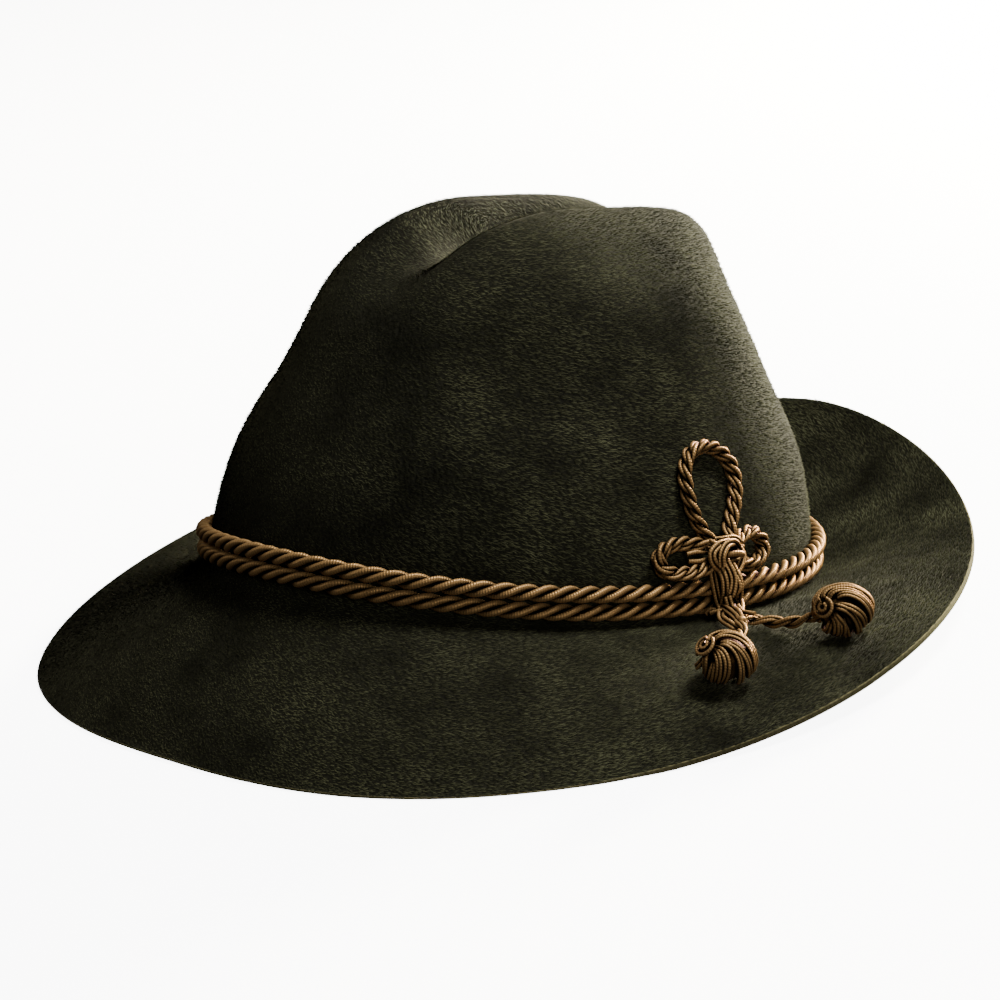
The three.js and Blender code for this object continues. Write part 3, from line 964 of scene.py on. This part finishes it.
# %% [markdown]
# ## The felt hood
# The felt is one wall 2.2 mm thick, so its mesh is one closed shell: the outer face from the tip out to
# the brim's cut edge, the edge, and the inner face back under the tip. Where it would sink into the
# floor it lies flat, because felt gives way there.

# %% Build the felt wall
AROUND = 300
BRIM_RINGS = 46
CROWN_RINGS = 84
RING_CROWDING = 1.15
EDGE_ROUND = 0.35
EDGE_SQUARENESS = 0.5
EDGE_RINGS = 7
FELT_ANGLES = np.linspace(0, 2 * math.pi, AROUND, endpoint=False)


def felt_rings():
    """Rings of the outer face in hat-frame millimetres, from the brim's edge to near the tip."""
    shares = np.linspace(1, 0, BRIM_RINGS, endpoint=False) ** RING_CROWDING
    places = np.linspace(0, 1, CROWN_RINGS, endpoint=False) * (len(CROWN["height"]) - 1)
    brim = [brim_point(FELT_ANGLES, share) for share in shares]
    crown = [crown_point(FELT_ANGLES, np.full(AROUND, place)) for place in places]
    return np.array(brim + crown)


def ring_normals(rings, tip):
    around = np.roll(rings, -1, axis=1) - np.roll(rings, 1, axis=1)
    inner = np.concatenate([rings[1:], np.broadcast_to(tip, (1, AROUND, 3))])
    outer = np.concatenate([rings[:1], rings[:-1]])
    return unit(np.cross(around, inner - outer))


def ring_mesh(name, rings, first_tip=None, last_tip=None):
    """A mesh of rings joined in order, closed by fans where tips are given."""
    count = len(rings)
    index = np.arange(count * AROUND).reshape(count, AROUND)
    beside = np.roll(index, -1, axis=1)
    quads = np.stack([index[:-1], beside[:-1], beside[1:], index[1:]], axis=-1).reshape(-1, 4)
    points = rings.reshape(-1, 3)
    faces = [tuple(q) for q in quads.tolist()]
    if first_tip is not None:
        faces += [(b, a, len(points)) for a, b in zip(index[0].tolist(), beside[0].tolist())]
        points = np.concatenate([points, [first_tip]])
    if last_tip is not None:
        faces += [(a, b, len(points)) for a, b in zip(index[-1].tolist(), beside[-1].tolist())]
        points = np.concatenate([points, [last_tip]])
    mesh = bpy.data.meshes.new(name)
    mesh.from_pydata(points.tolist(), [], faces)
    mesh.shade_smooth()
    made = bpy.data.objects.new(name, mesh)
    bpy.context.scene.collection.objects.link(made)
    return made


OUTER = felt_rings()
TIP = crown_point(np.array([0.0]), np.array([len(CROWN["height"]) - 1.0]))[0]
OUTWARD = ring_normals(OUTER, TIP)
INNER = OUTER - OUTWARD * FELT
edge = []
outline = (OUTER[0] + INNER[0]) / 2
away = unit(OUTER[0] - OUTER[1])
for turn in np.linspace(math.pi / 2, -math.pi / 2, EDGE_RINGS):
    across = math.copysign(abs(math.sin(turn)) ** EDGE_SQUARENESS, turn)
    beyond = abs(math.cos(turn)) ** EDGE_SQUARENESS
    edge.append(outline + OUTWARD[0] * (FELT / 2) * across + away * EDGE_ROUND * beyond)
shell = np.concatenate([INNER[::-1], np.array(edge)[::-1], OUTER])
shell = stood(shell)
shell[..., 2] = np.maximum(shell[..., 2], 0)
under_tip = TIP - np.array([0, 0, FELT])
felt = ring_mesh("blocked_felt_hood", shell, stood(under_tip), stood(TIP))
print("felt faces:", len(felt.data.polygons))

# %% [markdown]
# ## Velour felt
# Fur felt is matted hair. On a velour hat the outer hairs are raised and brushed one way round, which
# gives a dull, soft sheen that brightens where the surface turns away from the eye. Under the nap the
# matted ground is darker and unevenly dense. The brim's cut edge is painted paler: painted light
# that stands in for the light falling on the edge.

# %% Make the felt material
GROUND_GRAIN = 1.1 * MM
GRAIN_RELIEF = 0.3 * MM
CLOUD_SCALE = 22
CLOUD_WEIGHT = 0.6


def velour(name, dark, light, grain):
    """Matted fur. grain is the size of its finest unevenness."""
    dull = {
        "Roughness": 0.95,
        "Specular IOR Level": 0.06,
        "Sheen Weight": 0.3,
        "Sheen Roughness": 0.5,
        "Sheen Tint": linear("#46432a"),
    }
    material, tree, inputs = new_material(name, dull)
    place = node(tree, "ShaderNodeTexCoord").outputs["Object"]
    fine = node(tree, "ShaderNodeTexNoise", {"Vector": place, "Scale": 1 / grain, "Detail": 4})
    broad = node(tree, "ShaderNodeTexNoise", {"Vector": place, "Scale": CLOUD_SCALE, "Detail": 2})
    both = node(
        tree,
        "ShaderNodeMath",
        {0: broad.outputs["Fac"], 1: CLOUD_WEIGHT, 2: fine.outputs["Fac"]},
        operation="MULTIPLY_ADD",
    ).outputs[0]
    level = node(
        tree, "ShaderNodeMapRange", {"Value": both, "From Min": 0.55, "From Max": 1.05}
    ).outputs[0]
    tone = node(
        tree,
        "ShaderNodeMix",
        {"Factor": level, "A": linear(dark), "B": linear(light)},
        data_type="RGBA",
    )
    bump = node(
        tree,
        "ShaderNodeBump",
        {"Height": fine.outputs["Fac"], "Strength": 0.7, "Distance": GRAIN_RELIEF},
    )
    tree.links.new(tone.outputs["Result"], inputs["Base Color"])
    tree.links.new(bump.outputs["Normal"], inputs["Normal"])
    return material


GROUND = velour("fur felt, matted ground", "#080805", "#1b1b13", GROUND_GRAIN)
# Painted light: the cut edge's paler colours stand in for light falling on it.
PAINTED_LIGHT_EDGE = velour("fur felt, cut edge with painted light", "#444029", "#6e6849", GROUND_GRAIN)
felt.data.materials.append(GROUND)
felt.data.materials.append(PAINTED_LIGHT_EDGE)
# Faces of the cut edge, which get the painted light.
face_row = np.arange(len(felt.data.polygons)) // AROUND
on_painted_light_edge = (face_row >= len(INNER)) & (face_row < len(INNER) + len(edge) - 1)
felt.data.polygons.foreach_set("material_index", on_painted_light_edge.astype(np.int32))
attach(felt, "root")
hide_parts("felt_body")
print("material:", GROUND.name)

# %% [markdown]
# ## The brushed nap
# The nap is hair laid over along the way of the brush, which goes round the hat and a little down. A
# Geometry Nodes tree scatters thin blades over the felt, turns each along the brushing with a little
# lift and disorder, and makes them real. Each blade is one thin triangle, 0.3 mm wide at its root, so
# it stands for a small tuft of hairs.

# %% Scatter blades along the brushing
BRUSH_ATTRIBUTE = "brush"
SHADE_ATTRIBUTE = "shade"
BLADE_SIZES = (0.55, 1.2)
NAP, start, end = geometry_tree(
    "brushed nap",
    {
        "Density": "NodeSocketFloat",
        "Blade length": "NodeSocketFloat",
        "Blade width": "NodeSocketFloat",
        "Lift": "NodeSocketFloat",
        "Disorder": "NodeSocketFloat",
        "Seed": "NodeSocketInt",
        "Material": "NodeSocketMaterial",
    },
)
roots = node(
    NAP,
    "GeometryNodeDistributePointsOnFaces",
    {"Mesh": start["Geometry"], "Density": start["Density"], "Seed": start["Seed"]},
)
brushed = node(
    NAP, "GeometryNodeInputNamedAttribute", {"Name": BRUSH_ATTRIBUTE}, data_type="FLOAT_VECTOR"
).outputs[0]
stray = node(
    NAP,
    "FunctionNodeRandomValue",
    {"Min": (-1, -1, -1), "Max": (1, 1, 1), "Seed": start["Seed"]},
    data_type="FLOAT_VECTOR",
).outputs[0]
strays = node(
    NAP, "ShaderNodeVectorMath", {0: stray, "Scale": start["Disorder"]}, operation="SCALE"
).outputs[0]
raised = node(
    NAP,
    "ShaderNodeVectorMath",
    {0: roots.outputs["Normal"], "Scale": start["Lift"]},
    operation="SCALE",
).outputs[0]
leaning = node(NAP, "ShaderNodeVectorMath", {0: brushed, 1: strays}, operation="ADD").outputs[0]
pointing = node(NAP, "ShaderNodeVectorMath", {0: leaning, 1: raised}, operation="ADD").outputs[0]
along = node(NAP, "FunctionNodeAlignRotationToVector", {"Vector": pointing}, axis="X").outputs[0]
turned = node(
    NAP,
    "FunctionNodeAlignRotationToVector",
    {"Rotation": along, "Vector": roots.outputs["Normal"]},
    axis="Z",
    pivot_axis="X",
).outputs[0]
blade = node(NAP, "GeometryNodeMeshCircle", {"Vertices": 3, "Radius": 1.0}, fill_type="NGON").outputs[0]
# The triangle's tip lies at x = 1 and its root at x = -1/2, so reach is 1 at the tip and 0 at the
# root. The root is the square root of 3 wide.
corner = node(NAP, "GeometryNodeInputPosition").outputs[0]
corners = node(NAP, "ShaderNodeSeparateXYZ", {0: corner}).outputs
reach = node(
    NAP, "ShaderNodeMath", {0: corners[0], 1: 2 / 3, 2: 1 / 3}, operation="MULTIPLY_ADD"
).outputs[0]
tipped = node(
    NAP,
    "GeometryNodeStoreNamedAttribute",
    {"Geometry": blade, "Name": "tip", "Value": reach},
    data_type="FLOAT",
    domain="POINT",
).outputs[0]
long = node(NAP, "ShaderNodeMath", {0: reach, 1: start["Blade length"]}, operation="MULTIPLY").outputs[0]
half = node(
    NAP, "ShaderNodeMath", {0: start["Blade width"], 1: 1 / math.sqrt(3)}, operation="MULTIPLY"
).outputs[0]
wide = node(NAP, "ShaderNodeMath", {0: corners[1], 1: half}, operation="MULTIPLY").outputs[0]
place = node(NAP, "ShaderNodeCombineXYZ", {"X": long, "Y": wide}).outputs[0]
shaped = node(NAP, "GeometryNodeSetPosition", {"Geometry": tipped, "Position": place}).outputs[0]
size = node(
    NAP,
    "FunctionNodeRandomValue",
    {2: BLADE_SIZES[0], 3: BLADE_SIZES[1], "Seed": start["Seed"]},
    data_type="FLOAT",
).outputs[1]
blades = node(
    NAP,
    "GeometryNodeInstanceOnPoints",
    {"Points": roots.outputs["Points"], "Instance": shaped, "Rotation": turned, "Scale": size},
).outputs[0]
shade = node(
    NAP, "FunctionNodeRandomValue", {2: 0.0, 3: 1.0, "Seed": start["Seed"]}, data_type="FLOAT"
).outputs[1]
shaded = node(
    NAP,
    "GeometryNodeStoreNamedAttribute",
    {"Geometry": blades, "Name": SHADE_ATTRIBUTE, "Value": shade},
    data_type="FLOAT",
    domain="INSTANCE",
).outputs[0]
finish_tree(NAP, shaded, start["Material"], end)


# %% Make the nap material
def hair(name, root, tip):
    """Brushed fur: painted shade darkens each blade to its root, and it is lighter to the tip,
    with each tuft a little different.
    """
    soft = {"Roughness": 0.85, "Specular IOR Level": 0.06, "Specular Tint": linear("#a39c6c")}
    material, tree, inputs = new_material(name, soft)
    reach = node(tree, "ShaderNodeAttribute", attribute_name="tip").outputs["Fac"]
    shade = node(tree, "ShaderNodeAttribute", attribute_name=SHADE_ATTRIBUTE).outputs["Fac"]
    varied = node(tree, "ShaderNodeMath", {0: reach, 1: shade}, operation="MULTIPLY").outputs[0]
    place = node(tree, "ShaderNodeTexCoord").outputs["Object"]
    cloud = node(tree, "ShaderNodeTexNoise", {"Vector": place, "Scale": 45, "Detail": 3})
    patch = node(
        tree,
        "ShaderNodeMapRange",
        {"Value": cloud.outputs["Fac"], "From Min": 0.3, "From Max": 0.7, "To Min": 0.15},
    ).outputs[0]
    level = node(tree, "ShaderNodeMath", {0: varied, 1: patch}, operation="MULTIPLY").outputs[0]
    # Painted shade: each blade darkens towards its root, where the other hairs shut out the light.
    tone = node(
        tree,
        "ShaderNodeMix",
        {"Factor": level, "A": linear(root), "B": linear(tip)},
        data_type="RGBA",
    )
    tree.links.new(tone.outputs["Result"], inputs["Base Color"])
    return material


# The root colour is the painted shade under the nap.
HAIR = hair("fur felt, brushed nap", "#060604", "#6a6b4e")
print("material:", HAIR.name)

# %% Grow the nap on the crown and the brim
DOWN_DRIFT = 0.25
NAP_BLADE = {"length": 1.8, "width": 0.3}
NAP_LIFT = 0.28
NAP_DISORDER = 0.3
NAP_COUNT = 190000
NAP_SEEDS = {"crown": 3, "brim": 5}


def nap_on(name, rings, normals, seed):
    """Blades over a run of rings, about NAP_COUNT of them."""
    source = ring_mesh(name, stood(rings))
    forward = unit(np.roll(rings, -1, axis=1) - np.roll(rings, 1, axis=1))
    down = np.cross(forward, normals)
    brush = (forward + down * DOWN_DRIFT) @ LYING.T
    mesh = source.data
    mark = mesh.attributes.new(BRUSH_ATTRIBUTE, "FLOAT_VECTOR", "POINT")
    mark.data.foreach_set("vector", brush.reshape(-1))
    area = sum(face.area for face in mesh.polygons)
    values = {
        "Density": NAP_COUNT / area,
        "Blade length": NAP_BLADE["length"] * MM,
        "Blade width": NAP_BLADE["width"] * MM,
        "Lift": NAP_LIFT,
        "Disorder": NAP_DISORDER,
        "Seed": seed,
        "Material": HAIR,
    }
    piece = mesh_from(source, NAP, values, name)
    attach(piece, "root")
    print(name, "blades:", len(piece.data.polygons), "on cm2:", round(area * 1e4))


ON_CROWN = slice(BRIM_RINGS, None)
ON_BRIM = slice(0, BRIM_RINGS + 1)
nap_on("nap_crown", OUTER[ON_CROWN], OUTWARD[ON_CROWN], NAP_SEEDS["crown"])
nap_on("nap_brim_top", OUTER[ON_BRIM], OUTWARD[ON_BRIM], NAP_SEEDS["brim"])

# %% [markdown]
# ## Floor and light
# The hat stands on a light table, as in catalogue pictures: the pale floor glows, so it comes out near
# white while the hat stays dark. The glow is for the picture only, so the floor lights nothing. The
# strong light, a warm white, stands low behind the hat and draws the lit plane at the crown's back.
# A second one high up behind lights the brim. Two weak ones, to the right and to the left of the
# camera, bring out the cords.

# %% Set the floor and the lights
FLOOR_GLOW = 8.0
WORLD_GLOW = 0.02
WHITE = "#ffffff"
WARM_WHITE = "#fff7da"
FLOOR_SIZE = 6
AIM = (0, 0, 0.06)

bpy.ops.mesh.primitive_plane_add(size=FLOOR_SIZE, location=(0, 0, 0))
floor = bpy.context.object
floor.name = "floor"
glowing = {
    "Base Color": linear("#f4f3f0"),
    "Roughness": 0.9,
    "Emission Color": linear(WHITE),
    "Emission Strength": FLOOR_GLOW,
}
floor.data.materials.append(new_material("opal acrylic light table", glowing)[0])
floor.visible_diffuse = False
floor.visible_glossy = False

world = bpy.data.worlds.new("studio")
world.use_nodes = True
sky = world.node_tree.nodes["Background"].inputs
sky["Color"].default_value = linear(WHITE)
sky["Strength"].default_value = WORLD_GLOW
bpy.context.scene.world = world


def soft_light(name, place, size, power, colour):
    """A square soft light at a place in metres that looks at the hat."""
    data = bpy.data.lights.new(name, "AREA")
    data.size = size
    data.energy = power
    data.color = linear(colour)[:3]
    made = bpy.data.objects.new(name, data)
    bpy.context.scene.collection.objects.link(made)
    made.location = place
    towards = Vector(AIM) - made.location
    made.rotation_mode = "QUATERNION"
    made.rotation_quaternion = towards.to_track_quat("-Z", "Y")


soft_light("light_behind", (-0.2, 1.45, 0.36), 0.35, 205, WARM_WHITE)
soft_light("light_top", (0.38, 0.6, 1.5), 0.5, 64, WHITE)
soft_light("light_side", (1.3, -0.5, 0.42), 0.6, 8, WHITE)
soft_light("light_left", (-0.9, -0.9, 0.7), 0.6, 4, WHITE)
